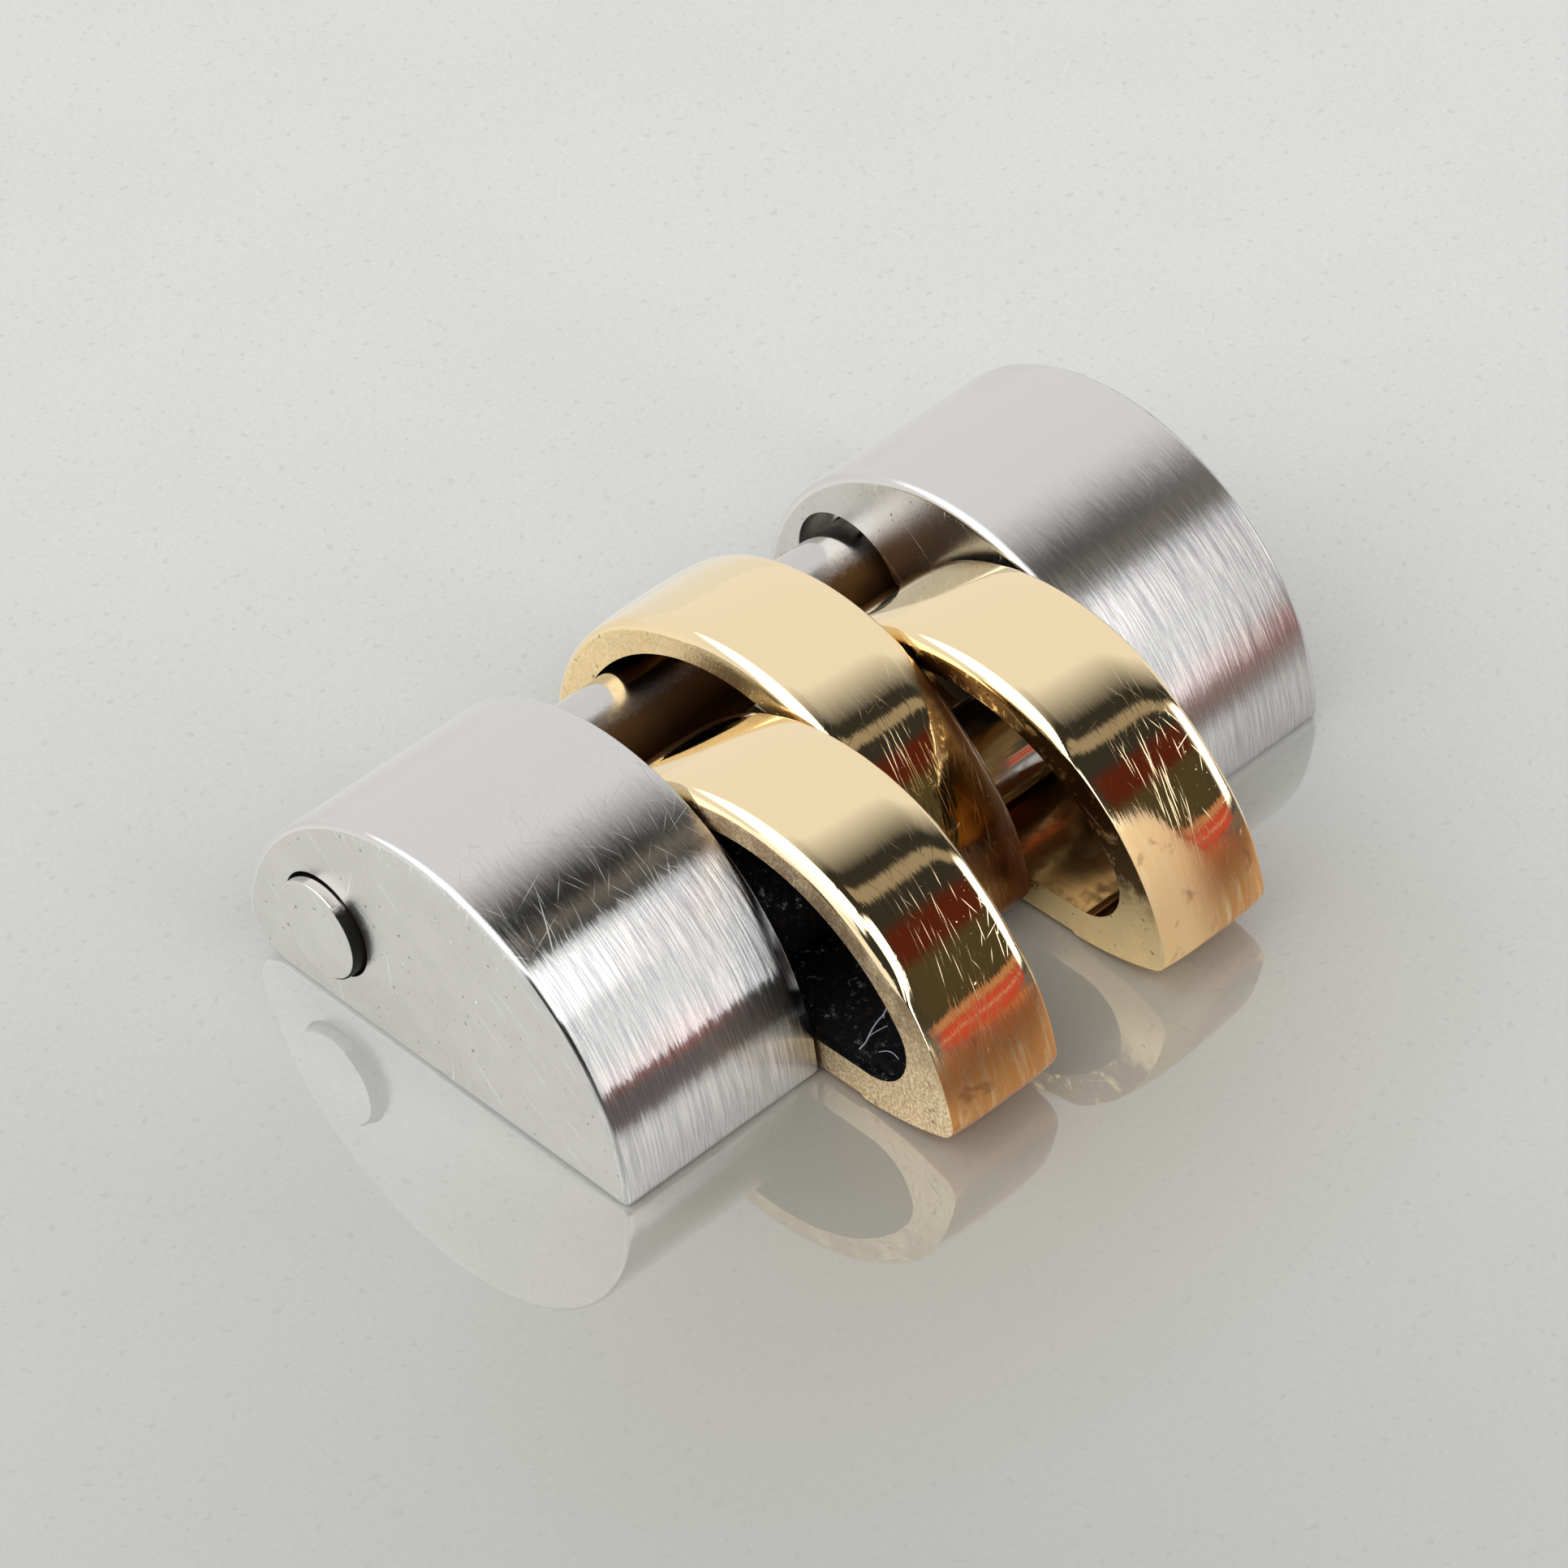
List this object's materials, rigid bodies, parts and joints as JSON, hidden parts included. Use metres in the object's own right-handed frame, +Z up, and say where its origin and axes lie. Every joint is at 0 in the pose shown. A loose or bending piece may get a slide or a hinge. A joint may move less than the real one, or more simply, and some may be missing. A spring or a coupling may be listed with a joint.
{
  "type": "watch bracelet link",
  "caption": "Removable row of a two-tone five-link watch bracelet: solid outer links, hollow inner links, a fixed pin and a push-out pin.",
  "frame": {"origin": "on the flat underside, in the middle of the row's width, below the centre of the half-moon outline that the rigid links share", "axes": "+X along the pins, from the near outer link with the pin's head to the far one; -Y towards the side links' toes; +Z up, from the flat underside to the domed top"},
  "size_m": [0.0132, 0.0098, 0.0038],
  "materials": {
    "brushed_steel": "brushed round the dome, satin on the ends",
    "gold": "polished domes, matt sawn sides, scratched",
    "pin_steel": "ground"
  },
  "bodies": {
    "rigid_row": {"outer_link_near": "brushed_steel", "outer_link_far": "brushed_steel", "centre_link": "gold", "fixed_pin": "pin_steel", "pin_collar": "pin_steel"},
    "near_hook": {"side_link_near": "gold"},
    "far_hook": {"side_link_far": "gold"},
    "push_pin": {"removable_pin": "pin_steel"}
  },
  "joints": [
    {"name": "near_hook_swing", "type": "hinge", "parent": "rigid_row", "child": "near_hook", "pos_m": [-0.00209, -0.00197, 0.00136], "axis": [1, 0, 0], "range_deg": [-135, 145]},
    {"name": "far_hook_swing", "type": "hinge", "parent": "rigid_row", "child": "far_hook", "pos_m": [0.00199, -0.00197, 0.00136], "axis": [1, 0, 0], "range_deg": [-135, 145]},
    {"name": "push_pin_slide", "type": "slide", "parent": "rigid_row", "child": "push_pin", "axis": [-1, 0, 0], "range_m": [0, 0.0115]}
  ]
}
